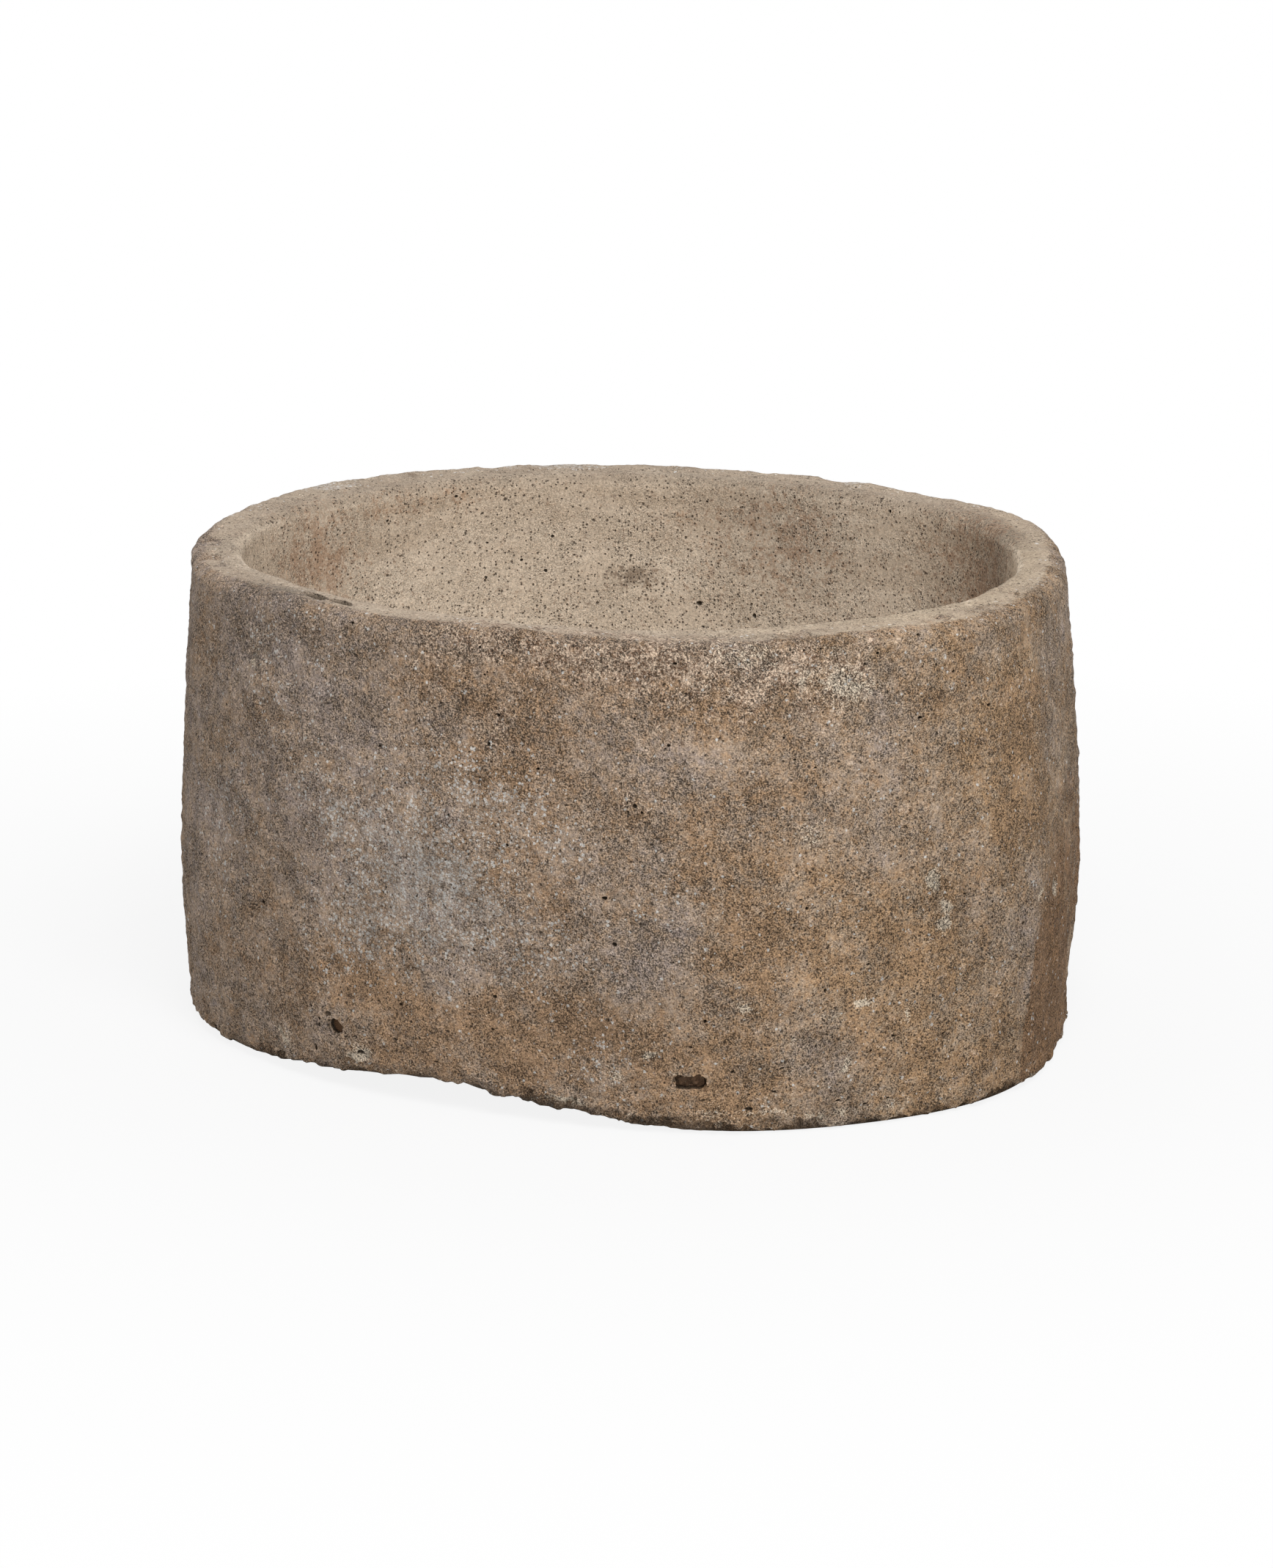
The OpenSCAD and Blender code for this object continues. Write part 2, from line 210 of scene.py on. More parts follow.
def outline_rows(a):
    """The block's outline at each azimuth, from under its middle over the rim to its floor."""
    thick = rim_r(a) - hollow_rim_r(a)
    outer = np.minimum(RIM_OUT, EDGE_SHARE * thick)
    inner = np.minimum(RIM_IN, EDGE_SHARE * thick)
    up = lift(a)
    foot_z = up + FOOT_ROUND
    foot_in = wall_r(a, foot_z) - FOOT_ROUND
    under = foot_in - FOOT_RING - BROKEN_RUN * up
    top = rim_z(a)
    wall_top = top - outer
    rim_out = wall_r(a, wall_top) - outer
    rim_in = hollow_rim_r(a) + inner
    hollow_top = top - inner
    fillet_z = FLOOR + FLOOR_ROUND
    fillet_r = hollow_r(a, fillet_z) - FLOOR_ROUND
    rows = [(under * i / UNDER_ROWS, 0) for i in range(1, UNDER_ROWS + 1)]
    shares = [i / (RUN_ROWS + 1) for i in range(1, RUN_ROWS + 1)]
    rows += [(under + (foot_in - under) * s, up * s * s) for s in shares]
    rows += [(foot_in + FOOT_ROUND * sin(t), foot_z - FOOT_ROUND * cos(t))
             for t in quarter(FOOT_ROWS)]
    heights = [foot_z + (wall_top - foot_z) * i / WALL_ROWS for i in range(1, WALL_ROWS + 1)]
    rows += [(wall_r(a, z), z) for z in heights]
    rows += [(rim_out + outer * cos(t), wall_top + outer * sin(t)) for t in quarter(EDGE_ROWS, 1)]
    rows += [(rim_out + (rim_in - rim_out) * i / RIM_ROWS, top) for i in range(1, RIM_ROWS)]
    rows += [(rim_in - inner * sin(t), hollow_top + inner * cos(t))
             for t in quarter(EDGE_ROWS)[:-1]]
    heights = [hollow_top + (fillet_z - hollow_top) * i / HOLLOW_ROWS for i in range(HOLLOW_ROWS)]
    rows += [(hollow_r(a, z), z) for z in heights]
    rows += [(fillet_r + FLOOR_ROUND * cos(t), fillet_z - FLOOR_ROUND * sin(t))
             for t in quarter(FILLET_ROWS)]
    rows += [(fillet_r * i / FLOOR_ROWS, FLOOR) for i in range(FLOOR_ROWS - 1, 0, -1)]
    return (np.array([r + 0 * a for r, z in rows]), np.array([z + 0 * a for r, z in rows]))


# Seeded gradient noise, for every irregular form on the stone
RNG = np.random.default_rng(71)
GRADIENTS = RNG.normal(size=(256, 3))
GRADIENTS /= norm(GRADIENTS, axis=1, keepdims=True)
SHUFFLE = RNG.permutation(256)


def noise(points, cell, seed=0):
    """Gradient noise of about -1 to 1, with features as large as cell."""
    p = points / cell + 19.7 * seed + 100
    base = np.floor(p).astype(np.int64)
    f = p - base
    w = f * f * f * (f * (f * 6 - 15) + 10)
    value = np.zeros(p.shape[:-1])
    for dx, dy, dz in np.ndindex(2, 2, 2):
        h = SHUFFLE[(base[..., 0] + dx) & 255]
        h = SHUFFLE[(h + base[..., 1] + dy) & 255]
        h = SHUFFLE[(h + base[..., 2] + dz + seed) & 255]
        d = f - (dx, dy, dz)
        weight = (np.where(dx, w[..., 0], 1 - w[..., 0]) * np.where(dy, w[..., 1], 1 - w[..., 1])
                  * np.where(dz, w[..., 2], 1 - w[..., 2]))
        value += weight * np.sum(GRADIENTS[h] * d, -1)
    return value * 1.5


def layers(points, cell, count, seed=0, gain=0.5):
    return sum(gain ** i * noise(points, cell / 2 ** i, seed + i) for i in range(count))


def ramp(x, low, high):
    t = unit((x - low) / (high - low))
    return t * t * (3 - 2 * t)


def grid_normals(p):
    along = np.roll(p, -1, 1) - np.roll(p, 1, 1)
    across = np.empty_like(p)
    across[1:-1] = p[2:] - p[:-2]
    across[0], across[-1] = p[1] - p[0], p[-1] - p[-2]
    n = np.cross(along, across)
    return n / norm(n, axis=-1, keepdims=True)


def box_middle():
    """The middle of the solid's box, from the azimuths that the part's source uses."""
    a = np.arange(0, 360, 360 / SOURCE_AROUND)
    r = outline_rows(a)[0]
    x, y = r * np.cos(np.radians(a)), r * np.sin(np.radians(a))
    return np.array([(x.max() + x.min()) / 2, (y.max() + y.min()) / 2, 0])


MIDDLE = box_middle()


def flake_scars(a, z, radius, wobble):
    """Depth of the flake scars in millimetres, and how fresh their stone is. Each has one sharp edge."""
    depth, fresh = np.zeros_like(z), np.zeros_like(z)
    for azimuth, height, half_along, half_across, turn, deep, new in SCARS:
        u, v = np.radians(turned(a, azimuth)) * radius, z - height
        c, s = cos(radians(turn)), sin(radians(turn))
        along, across = u * c + v * s, v * c - u * s + wobble
        share = unit(1 + across / half_across) * (across < 0) * fade(along, half_along)
        depth += deep * share
        fresh += new * ramp(share, 0.05, 0.4)
    return depth, fresh


def fracture_height(a, ring):
    """How far up the broken foot's edge the stone has split off."""
    leaves = 7 * unit(layers(ring, 48, 3, 44) - 0.05)
    return dressed(a, FRACTURES) * (0.62 + 0.8 * layers(ring, 13, 3, 47)) + leaves


def twisted(p, degrees_per_mm, flatten):
    """The points turned about the vertical by their height, and flattened, for leaning streaks."""
    t = np.radians(degrees_per_mm) * (p[..., 2] - BELLY_HEIGHT)
    x, y = p[..., 0], p[..., 1]
    return np.stack([x * np.cos(t) - y * np.sin(t), x * np.sin(t) + y * np.cos(t), p[..., 2] * flatten], -1)


def crease(z):
    """Azimuth of the sharp crease low on the right, which leans with height."""
    return 4.7 + 0.0125 * z


def stone_grid():
    """The skin of the block: its drawn form, then everything that hand, weather and knocks left on it."""
    azimuths = np.arange(AROUND) * 360 / AROUND
    r, z = outline_rows(azimuths)
    t = np.radians(azimuths)
    p = np.stack([r * np.cos(t), r * np.sin(t), z], -1)
    n = grid_normals(p)
    a = azimuths + 0 * z
    row = np.arange(len(r))[:, None]
    outside = (row <= RIM_ROW) * 1.0 + 0 * z
    inside = 1 - outside
    below_rim = np.maximum(rim_z(azimuths) - z, 0)
    worn = fade(below_rim, 24)
    off_ground = ramp(z, 0.0, 9.0)

    # hand-cut unevenness, from hollows as wide as a palm down to single grains
    d = 1.6 * layers(p, 150, 2, 1) + 1.7 * layers(p, 52, 2, 5) * (1 - 0.4 * inside)
    d += 1.5 * layers(p, 17, 3, 9) * (1 - 0.45 * worn) * (1 - 0.5 * inside)
    d += 0.6 * layers(p, 8, 2, 14) * (1 - 0.4 * worn) * (1 - 0.6 * inside)
    # shallow dents of the mason's pick, with sharper ridges between them
    dents = 2.6 * np.abs(noise(p, 38, 61)) + 1.2 * np.abs(noise(p, 19, 62))
    d -= (dents - 0.9) * outside * (1 - 0.6 * worn)
    d += bulges(a, z, UNEVEN) * outside
    # pitting that opens in patches
    patchy = np.clip(0.5 + layers(p, 120, 2, 16), 0.15, 1)
    d -= 3.2 * patchy * unit(layers(p, 13, 2, 18) - 0.42) * outside * (1 - 0.5 * worn)
    d -= 2.2 * patchy * unit(layers(p, 11, 2, 27) - 0.5) * inside
    # tool flutes that run up the wall, strongest near the foot, and leaning streaks on the right
    upright, leaning = twisted(p, 0, 0.15), twisted(p, 0.022, 0.12)
    d += 0.9 * noise(upright, 24, 21) * outside * ramp(z, 330, 60)
    d += 0.5 * noise(upright, 13, 24) * (0.5 * outside + 0.9 * inside) * (1 - worn)
    d += 0.7 * layers(upright, 8, 2, 25) * inside * fade(apart(a, 68), 34) * ramp(below_rim, 8, 30)
    right = fade(apart(a, 355), 24) * outside * ramp(z, 420, 180)
    fold = 3.4 * np.exp(-apart(a, crease(z)) / 1.8) * fade(z - 110, 75)
    d += right * (2.4 * layers(leaning, 21, 2, 28) + 1.0 * noise(leaning, 8, 26) + fold)
    # the rim: knocked, granular and uneven
    d += worn * (1.2 * layers(p, 30, 3, 29) - 2.4 * unit(layers(p, 19, 2, 33) - 0.45))
    # flake scars
    wobble = 2.6 * layers(p, 14, 2, 35)
    d -= flake_scars(a, z, r, wobble)[0] * outside
    # broken foot: bites, bedding that splits into leaves, and fractures under the edge
    above = np.maximum(z - lift(azimuths), 0)
    low = outside * fade(above, 46)
    d -= low * 7.0 * unit(layers(p, 34, 3, 31) - 0.12)
    d += low * (1.2 * layers(p, 11, 2, 37) + 2.8 * layers(p * (1, 1, 4), 34, 3, 38) * fade(above, 26))
    d *= off_ground
    ring = p * (1, 1, 0)
    split = fracture_height(azimuths, ring) - above - 2 * layers(p, 9, 2, 48)
    d -= outside * (row > FOOT_ROW) * np.clip(1.6 * split, 0, 11)
    p = p + n * (d * (row > UNDER_ROWS))[..., None]
    # splinters and steps along the foot's lower edge
    steps = sum(high * ramp(layers(ring, cell, 2, seed), 0.12, 0.12 + sharp)
                for high, cell, seed, sharp in ((5.0, 46, 41, 0.06), (4.5, 22, 42, 0.08), (3.4, 11, 43, 0.2)))
    p[..., 2] += steps * outside * fade(above - 4, 9) * (row > FOOT_ROW)
    p[..., 2] = np.where(row <= UNDER_ROWS, 0, np.maximum(p[..., 2], 0.0))
    return p - MIDDLE


def add_object(name, data):
    obj = bpy.data.objects.new(name, data)
    bpy.context.scene.collection.objects.link(obj)
    return obj


def mesh_object(name, points, faces, smooth=True):
    mesh = bpy.data.meshes.new(name)
    mesh.from_pydata([tuple(v) for v in points], [], [tuple(f) for f in faces])
    mesh.validate()
    mesh.polygons.foreach_set("use_smooth", [smooth] * len(mesh.polygons))
    return add_object(name, mesh)


def closed_grid(rows, first, last):
    """Faces and points of rings that are closed at both ends by one point."""
    count, around = rows.shape[:2]
    index = np.arange(count * around).reshape(count, around)
    here, nxt = index[:-1], index[1:]
    quads = np.stack([here, np.roll(here, -1, 1), np.roll(nxt, -1, 1), nxt], -1).reshape(-1, 4)
    ends = [np.stack([np.full(around, count * around), np.roll(index[0], -1), index[0]], -1),
            np.stack([np.full(around, count * around + 1), index[-1], np.roll(index[-1], -1)], -1)]
    points = np.vstack([rows.reshape(-1, 3), first, last])
    return points, [*quads.tolist(), *ends[0].tolist(), *ends[1].tolist()]


def facing(azimuth):
    return Matrix.Translation(-Vector(MIDDLE)) @ Matrix.Rotation(radians(azimuth), 4, "Z")


def into_wall(azimuth, z):
    """Places local millimetres (across, up, inwards) in the wall, as the drains lie."""
    return np.array(facing(azimuth) @ Matrix.Translation((float(wall_r(azimuth, z)), 0, z))
                    @ Matrix.Rotation(radians(DRAIN_FALL - 90), 4, "Y")
                    @ Matrix.Rotation(pi / 2, 4, "Z"))


def placed(points, matrix):
    return points @ matrix[:3, :3].T + matrix[:3, 3]


def drain_length(azimuth, z):
    level = wall_r(azimuth, z) - hollow_r(azimuth, z)
    inside_z = z + level * tan(radians(DRAIN_FALL))
    return float((wall_r(azimuth, z) - hollow_r(azimuth, inside_z)) / cos(radians(DRAIN_FALL)))


def round_section(radius, count):
    t = np.linspace(0, 2 * pi, count, endpoint=False)
    return np.stack([np.cos(t), np.sin(t)], -1) * radius


def slot_section(play):
    """The slot's rectangle less the play, with round corners and hand-cut, bumpy sides, evenly stepped."""
    w, h, corner = SLOT_W - 2 * play, SLOT_H - 2 * play, SLOT_CORNER - play
    points = []
    for cx, cy, start in ((1, 1, 0), (-1, 1, 90), (-1, -1, 180), (1, -1, 270)):
        for t in np.radians(start + np.linspace(0, 90, 9)):
            points.append((cx * (w / 2 - corner) + corner * cos(t),
                           cy * (h / 2 - corner) + corner * sin(t)))
    points = np.array(points + points[:1])
    run = np.concatenate([[0], np.cumsum(norm(np.diff(points, axis=0), axis=1))])
    at = np.linspace(0, run[-1], SLOT_STEPS, endpoint=False)
    points = np.stack([np.interp(at, run, points[:, i]) for i in (0, 1)], -1)
    bumps = 1.7 * layers(np.pad(points, ((0, 0), (0, 1))), 9, 2, 77)
    return points * (1 + bumps / norm(points, axis=1))[:, None]


def ring_at(section, depth):
    return np.concatenate([section, np.full((len(section), 1), depth)], 1)


def drain_cutter(section, azimuth, z, roughness, flare, seed):
    """A rough hole along a drain, with a chipped mouth."""
    end = drain_length(azimuth, z) + OVERRUN
    corner = unit(np.hypot(*(section / np.abs(section).max(0)).T) - 1)
    depths = np.concatenate([np.linspace(-OVERRUN, -3, 4), np.linspace(-2, 12, 15), np.linspace(15, end, 14)])
    rows = []
    for s in depths:
        ring = ring_at(section, s)
        out = ring[:, :2] / norm(ring[:, :2], axis=1, keepdims=True)
        mouth = exp(-max(s, 0) / 3)
        chips = np.clip(0.35 + 1.7 * layers(ring * (1, 1, 0.5), 12, 3, seed + 5), 0, 2)
        ring[:, :2] *= 1 - 0.3 * mouth * corner[:, None]
        ring[:, :2] += out * (roughness * layers(ring, 8, 3, seed) + flare * mouth * chips)[:, None]
        rows.append(ring)
    points, faces = closed_grid(np.array(rows), (0, 0, -OVERRUN), (0, 0, end))
    return placed(points, into_wall(azimuth, z)), faces


def ball_rows(first, last, count, around):
    """Rings of a unit ball, between two shares of the half turn from its top to its foot."""
    t = np.linspace(0, 2 * pi, around, endpoint=False)
    return np.array([np.stack([np.cos(t) * sin(v), np.sin(t) * sin(v), 0 * t + cos(v)], -1)
                     for v in np.linspace(pi * first, pi * last, count)])


def worn_cutter(azimuth):
    """An ellipsoid as long, wide and deep at the rim as each worn hollow."""
    rise = 0.55 * WORN_DEPTH
    deep = rise + WORN_DEPTH
    share = sqrt(1 - (rise / deep) ** 2)
    half = (WORN_WIDTH / 2 / share, WORN_LENGTH / 2 / share, deep)
    rows = ball_rows(0.96, 0.04, 26, 48)
    rows = rows * half * (1 + 0.05 * noise(rows * 10, 9, 3))[..., None]
    points, faces = closed_grid(rows, (0, 0, -deep), (0, 0, deep))
    points = points + (float(rim_r(azimuth)) - WORN_INSET, 0, float(rim_z(azimuth)) + rise)
    return placed(points, np.array(facing(azimuth))), faces


def pit_axes(normal):
    across = np.cross((0, 0, 1), normal)
    across /= norm(across)
    return np.array([across, np.cross(normal, across), normal])


def pit_cutter(point, normal, width, height, depth, seed):
    """A small lumpy ellipsoid that opens at a point of the skin."""
    rows = ball_rows(0.9, 0.1, 7, 10)
    rows = rows * (1 + 0.28 * noise(rows * 10 + seed, 9, 3))[..., None]
    points, faces = closed_grid(rows, (0, 0, -1), (0, 0, 1))
    return (points * (width / 2, height / 2, depth)) @ pit_axes(normal) + point, faces


def pits(rows):
    """Where each pit opens, and its sizes: the noted ones, then strays that keep clear of each other."""
    normals = grid_normals(rows)
    height = rows[..., 2]
    wall = slice(FOOT_ROW + FOOT_ROWS + 4, RIM_ROW - 6)
    hollow = slice(RIM_ROW + 8, len(rows) - FLOOR_ROWS // 4)
    found = []

    def add(i, j, sizes):
        point = rows[i, j]
        reach = max(sizes)
        if all(norm(point - other[0]) > (reach + max(other[2])) * 0.62 + 0.6 for other in found):
            found.append((point, normals[i, j], sizes))

    for marks, part in ((PITS, wall), (HOLLOW_PITS, hollow)):
        for azimuth, z, *sizes in marks:
            j = round(azimuth / 360 * AROUND) % AROUND
            add(part.start + int(np.argmin(np.abs(height[part, j] - z))), j, sizes)
    chance = np.random.default_rng(19)
    for part, count in ((wall, STRAY_PITS), (hollow, STRAY_HOLLOW_PITS)):
        kept = len(found) + count
        for _ in range(count * 6):
            i, j = int(chance.integers(part.start, part.stop)), int(chance.integers(AROUND))
            size = 1.5 + 1.1 * chance.exponential()
            sizes = size * chance.uniform(0.8, 1.5), size * chance.uniform(0.7, 1.2), size * 1.1
            crowd = (layers(rows[i, j][None], 130, 2, 93)[0] + 0.35 * (height[i, j] < 240)
                     + 0.5 * fade(apart(j * 360 / AROUND, 350), 22))
            if len(found) < kept and size < STRAY_LIMIT and crowd > chance.uniform(-0.5, 0.7):
                add(i, j, sizes)
    return found


def joined(parts):
    points, faces, start = [], [], 0
    for p, f in parts:
        points.append(p)
        faces += [[start + i for i in face] for face in f]
        start += len(p)
    return np.vstack(points), faces


def cut(obj, parts):
    points, faces = joined(parts)
    cutter = mesh_object("cutter", points * MM, faces)
    modifier = obj.modifiers.new("cut", "BOOLEAN")
    modifier.object, modifier.operation, modifier.solver = cutter, "DIFFERENCE", "MANIFOLD"
    graph = bpy.context.evaluated_depsgraph_get()
    result = bpy.data.meshes.new_from_object(obj.evaluated_get(graph))
    obj.modifiers.clear()
    old, obj.data = obj.data, result
    bpy.data.meshes.remove(old)
    bpy.data.objects.remove(cutter)


def stone_body():
    rows = stone_grid()
    x, y = -MIDDLE[:2]
    points, faces = closed_grid(rows, (x, y, 0), (x, y, rows[-1, :, 2].mean()))
    body = mesh_object("stone_body", points * MM, faces)
    cut(body, [
        drain_cutter(round_section(BORE_D / 2, 64), BORE_AZIMUTH, BORE_HEIGHT,
                     roughness=0.9, flare=3.6, seed=51),
        drain_cutter(slot_section(0), SLOT_AZIMUTH, SLOT_HEIGHT, roughness=1.7, flare=4.8, seed=61),
        *[worn_cutter(a) for a in WORN_AZIMUTHS],
    ])
    openings = pits(rows)
    cut(body, [pit_cutter(point, normal, *sizes, i) for i, (point, normal, sizes) in enumerate(openings)])
    body.data.set_sharp_from_angle(angle=radians(SHARP_ANGLE))
    return body, openings


def stopper(name, section, azimuth, z, start, face_rows, lump, slope, seed):
    """A plug along a drain: a rough face, straight sides and a plain inner end."""
    end = drain_length(azimuth, z) - INNER_SETBACK
    rows = []
    for i in range(1, face_rows + 1):
        share = i / face_rows
        ring = ring_at(section * share, 0.0)
        ring[:, 2] = start + lump * layers(ring + 50, 7, 3, seed) * (1 - share ** 6) + 0.9 * share ** 8
        ring[:, 2] -= slope * ring[:, 0]
        rows.append(ring)
    rows += [ring_at(section, s) for s in np.linspace(start + 4, end - 1, 14)]
    rows += [ring_at(section * i / face_rows, end) for i in range(face_rows - 1, 0, -2)]
    rows = np.array(rows)
    points, faces = closed_grid(rows, (0, 0, rows[0, :, 2].mean()), (0, 0, end))
    return mesh_object(name, placed(points, into_wall(azimuth, z)) * MM, faces)


# Stains and wear: (azimuth, height, half width, half height, strength), as seen in the photograph, and more
# of the same kinds on the sides that it doesn't show
WARM = [
    (304, 520, 60, 30, .5), (294, 483, 35, 25, .45), (314, 492, 50, 30, .3), (326, 480, 60, 35, .5),
    (338, 496, 60, 30, .35), (340, 240, 90, 60, .5), (330, 186, 70, 60, .45), (350, 150, 90, 90, .35),
    (311, 120, 80, 45, .75), (325, 100, 60, 40, .3), (300, 315, 50, 40, .25), (326, 300, 50, 70, .35),
    (300, 80, 70, 40, .35), (273, 118, 55, 50, .5), (14, 140, 35, 90, .6), (343, 371, 35, 35, .2),
    (358, 370, 60, 90, .35), (2, 230, 30, 150, .3), (340, 150, 60, 50, .2), (5, 400, 45, 110, .5),
    (323, 42, 60, 30, .4), (283, 124, 50, 50, .3), (297, 115, 60, 50, .35), (9, 465, 30, 60, .3),
    (9, 290, 30, 60, .3), (60, 300, 90, 120, .4), (120, 200, 120, 90, .5), (170, 380, 90, 80, .4),
    (210, 150, 90, 90, .4)]
GREY = [
    (271, 444, 60, 60, .45), (289, 440, 50, 40, .45), (315, 430, 50, 45, .55), (281, 282, 60, 60, .3),
    (290, 245, 60, 50, .25), (295, 175, 45, 45, .45), (340, 365, 45, 60, .2), (279, 395, 60, 60, .3),
    (263, 330, 45, 60, .35), (320, 212, 40, 45, .45), (336, 482, 30, 20, .2), (272, 100, 50, 40, .2),
    (335, 90, 45, 35, .35), (313, 350, 60, 70, .3), (318, 190, 50, 50, .2), (280, 338, 50, 50, .15),
    (250, 510, 50, 40, .2), (241, 313, 30, 130, .2), (85, 430, 100, 70, .5), (140, 330, 110, 90, .5),
    (190, 230, 90, 80, .5), (105, 120, 80, 60, .4), (228, 420, 50, 70, .3)]
CRUST = [
    (302, 520, 110, 24, .45), (322, 516, 130, 30, .5), (338, 508, 70, 34, .5), (331, 492, 60, 26, .35),
    (338, 462, 60, 30, .25), (320, 478, 60, 26, .25), (292, 538, 50, 14, .55), (304, 534, 55, 15, .8),
    (317, 534, 60, 18, .85), (325, 536, 30, 12, .8), (333, 515, 45, 14, .75), (337, 538, 25, 10, .8),
    (343, 512, 30, 12, .5), (267, 521, 14, 11, .7), (280, 527, 26, 9, .5), (290, 481, 22, 12, .5),
    (1, 518, 13, 10, .6), (345, 540, 40, 8, .4), (298, 455, 28, 20, .45), (298, 424, 25, 22, .5),
    (320, 441, 25, 18, .4), (316, 371, 28, 22, .4), (70, 530, 80, 16, .8), (115, 528, 120, 18, .7),
    (160, 532, 90, 14, .9), (200, 528, 80, 18, .7), (225, 530, 50, 12, .6)]
CREAM = [
    (329, 534, 42, 15, .75), (337, 508, 22, 14, .8), (342, 500, 28, 22, .8), (326, 500, 20, 10, .6),
    (340, 540, 20, 10, .5), (352, 271, 10, 15, 1), (353.5, 240, 8, 9, .9), (353, 222, 10, 10, 1),
    (15, 216, 10, 14, .8), (8.5, 222, 10, 8, .6), (336.5, 339, 18, 18, .5), (318, 94, 9, 7, .9),
    (314, 67, 8, 6, .8), (329, 151, 12, 7, .7), (342.5, 146, 11, 9, .7), (339, 134, 12, 8, .7),
    (340.5, 75, 12, 10, .7), (334.5, 109, 7, 6, .7), (325, 27, 16, 10, .6), (348, 122, 8, 26, .4),
    (331, 27, 50, 7, .55), (339, 20, 40, 6, .55), (305.8, 30, 20, 5, .6), (277, 48, 15, 15, .8),
    (263, 43, 16, 9, .6), (256, 470, 14, 30, .5), (307, 32, 26, 6, .8), (2.5, 496, 10, 26, .35),
    (346, 22, 30, 8, .6), (96, 210, 14, 12, .8), (139, 300, 12, 18, .8), (183, 330, 16, 10, .7),
    (76, 300, 12, 10, .7), (158, 130, 18, 9, .7), (120, 500, 30, 14, .7)]
LIME = [
    (285, 300, 85, 75, .9), (292, 240, 75, 65, .9), (278, 205, 70, 55, .8), (300, 350, 45, 40, .8),
    (250, 280, 45, 60, .5), (271, 327, 55, 40, .6), (294, 375, 50, 40, .45), (304, 205, 50, 40, .6),
    (312, 95, 50, 30, .5), (308, 320, 35, 25, .5), (262, 470, 60, 60, .35), (320, 262, 30, 25, .4),
    (88, 330, 80, 70, .7), (150, 250, 90, 80, .8), (195, 380, 60, 60, .6), (172, 120, 70, 50, .5),
    (120, 440, 60, 40, .5)]
PORES = [
    (350, 180, 140, 160, .75), (348, 90, 120, 60, .7), (5, 200, 60, 120, .6), (330, 340, 60, 60, .3),
    (298, 424, 50, 50, .4), (275, 60, 80, 50, .3)]
INNER_DARK = [
    (133, 420, 32, 16, 1.1), (111, 377, 60, 22, .4), (115, 517, 40, 25, .25), (54, 480, 90, 90, .25)]
INNER_RUST = [
    (60, 485, 110, 120, .7), (192, 480, 90, 80, .7), (104, 470, 110, 80, .48), (179, 528, 30, 16, .3),
    (171, 524, 40, 16, .42), (163, 529, 28, 12, .4), (115, 500, 60, 30, .25)]
DARK = [
    (255, 393, 45, 45, .35), (269, 290, 45, 35, .3), (257, 283, 30, 25, .3), (335.5, 480, 30, 14, .3),
    (355.8, 234, 30, 40, .4), (4.8, 200, 16, 12, .7), (14, 110, 30, 80, .3), (167.2, 548, 7, 6, .9)]

# Lighter (+) and darker (-) areas of the wall and of the hollow, written the same way: partly the stone's own
# tone, partly painted light and shade, such as the darkened rim top and shoulder and the shaded right inner
# wall
TONES_AND_PAINTED_LIGHT = [
    (266, 528, 60, 24, -.24), (281, 524, 50, 20, -.16), (296, 528, 40, 18, -.12), (4, 532, 40, 22, -.2),
    (18, 530, 40, 20, -.15), (293.5, 470, 18, 12, -.3), (290, 440, 20, 14, -.22), (267, 511, 22, 13, -.15),
    (280, 503, 40, 16, -.12), (272, 426, 45, 30, -.08), (330, 505, 70, 30, .06), (318, 396, 50, 60, -.04),
    (252, 480, 50, 50, -.18), (291, 326, 60, 60, .08), (249, 340, 60, 150, .09), (299, 165, 60, 50, -.04),
    (320, 212, 45, 50, -.1), (4.5, 415, 30, 80, .05), (2.5, 168, 22, 70, .08), (349, 140, 130, 160, .15),
    (345, 360, 110, 90, .09), (279, 395, 60, 60, .1), (276, 110, 60, 60, .15), (335, 30, 200, 40, .08),
    (341, 140, 70, 50, .07), (278, 165, 50, 50, .07), (8, 114, 35, 60, .12), (252, 495, 45, 40, -.14),
    (313, 125, 50, 50, -.25), (340, 162, 50, 50, .2), (352, 116, 50, 50, .08), (323, 42, 60, 25, .28),
    (306, 512, 50, 16, -.05), (258, 549, 70, 8, -.42), (322, 549, 150, 8, -.17), (337, 549, 60, 8, -.13),
    (354, 524, 50, 26, .2), (340, 370, 50, 50, .08), (283, 124, 50, 50, .29), (224, 548, 50, 8, -.12),
    (252, 547, 50, 10, -.09), (272, 41, 50, 25, .1), (297, 128, 55, 50, .16), (280, 338, 50, 50, .05),
    (317, 371, 50, 50, .05), (44, 550, 60, 12, -.05), (135, 549, 160, 8, -.03), (356, 375, 40, 50, .05),
    (10, 465, 30, 60, .14), (9, 290, 30, 60, -.04), (338, 512, 80, 30, .09), (309, 240, 30, 30, -.08),
    (272, 330, 22, 30, -.08), (90, 300, 90, 120, .08), (160, 400, 120, 60, -.08), (190, 150, 90, 70, .08)]
# Painted shade in the hollow: the right inner wall and the rim's inner edge darkened where less light falls
INNER_TONES_AND_PAINTED_SHADE = [
    (66, 480, 110, 200, -.23), (54, 505, 60, 80, -.33), (104, 475, 120, 100, -.23), (112, 510, 90, 30, -.08),
    (190, 495, 90, 60, -.12), (136, 385, 80, 50, -.04), (224, 547, 60, 12, -.12), (252, 547, 50, 12, -.08),
    (44, 550, 60, 12, -.06)]


def spread(a, z, radius, marks):
    """Sum of soft oval marks, with their sizes in millimetres along the face."""
    total = np.zeros_like(z)
    for azimuth, height, half_w, half_h, strength in marks:
        across = apart(a, azimuth) * pi / 180 * radius
        total += strength * np.exp(-(across / half_w) ** 2 - ((z - height) / half_h) ** 2)
    return total


